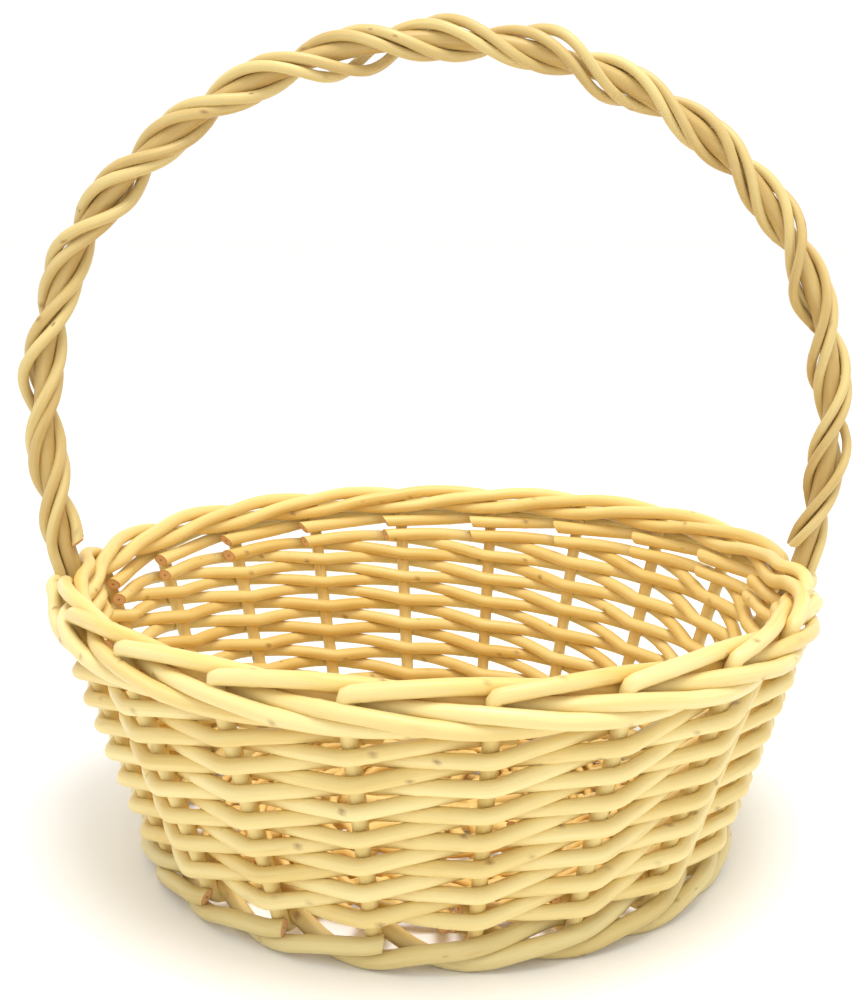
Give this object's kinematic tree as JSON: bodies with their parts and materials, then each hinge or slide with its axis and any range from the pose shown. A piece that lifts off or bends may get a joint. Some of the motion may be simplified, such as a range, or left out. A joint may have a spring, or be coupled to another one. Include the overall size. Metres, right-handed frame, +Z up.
{
  "type": "woven market basket",
  "caption": "Round flared basket of peeled willow rods on a crossed-stick base, with a laid-down plaited border and a fixed roped hoop handle.",
  "frame": {"origin": "on the floor under the middle of the basket", "axes": "+Z up; the handle spans X; -Y is the front"},
  "size_m": [0.3466, 0.3236, 0.3461],
  "materials": {
    "base_willow": "peeled willow, matt, slightly darker",
    "stake_willow": "peeled willow, smooth, satin",
    "weaver_willow": "peeled willow, smooth, satin",
    "wale_willow": "peeled willow, smooth, satin",
    "bow_willow": "peeled willow, smooth, satin",
    "rope_willow": "peeled willow, smooth, satin"
  },
  "bodies": {
    "root": {"base_weaver_1": "base_willow", "base_weaver_2": "base_willow", "foot_wale_rod_1": "wale_willow", "foot_wale_rod_2": "wale_willow", "foot_wale_rod_3": "wale_willow", "handle_bow": "bow_willow", "handle_rope_1": "rope_willow", "handle_rope_2": "rope_willow", "handle_rope_3": "rope_willow", "handle_rope_4": "rope_willow", "slit_stick_1": "base_willow", "slit_stick_2": "base_willow", "slit_stick_3": "base_willow", "slit_stick_4": "base_willow", "slit_stick_5": "base_willow", "stake_01": "stake_willow", "stake_02": "stake_willow", "stake_03": "stake_willow", "stake_04": "stake_willow", "stake_05": "stake_willow", "stake_06": "stake_willow", "stake_07": "stake_willow", "stake_08": "stake_willow", "stake_09": "stake_willow", "stake_10": "stake_willow", "stake_11": "stake_willow", "stake_12": "stake_willow", "stake_13": "stake_willow", "stake_14": "stake_willow", "stake_15": "stake_willow", "stake_16": "stake_willow", "stake_17": "stake_willow", "stake_18": "stake_willow", "stake_19": "stake_willow", "stake_20": "stake_willow", "through_stick_1": "base_willow", "through_stick_2": "base_willow", "through_stick_3": "base_willow", "through_stick_4": "base_willow", "through_stick_5": "base_willow", "weaver_01": "weaver_willow", "weaver_02": "weaver_willow", "weaver_03": "weaver_willow", "weaver_04": "weaver_willow", "weaver_05": "weaver_willow", "weaver_06": "weaver_willow", "weaver_07": "weaver_willow", "weaver_08": "weaver_willow", "weaver_09": "weaver_willow", "weaver_10": "weaver_willow", "weaver_11": "weaver_willow", "weaver_12": "weaver_willow", "weaver_13": "weaver_willow", "weaver_14": "weaver_willow", "weaver_15": "weaver_willow", "weaver_16": "weaver_willow", "weaver_17": "weaver_willow", "weaver_18": "weaver_willow", "weaver_19": "weaver_willow", "weaver_20": "weaver_willow"}
  },
  "joints": []
}
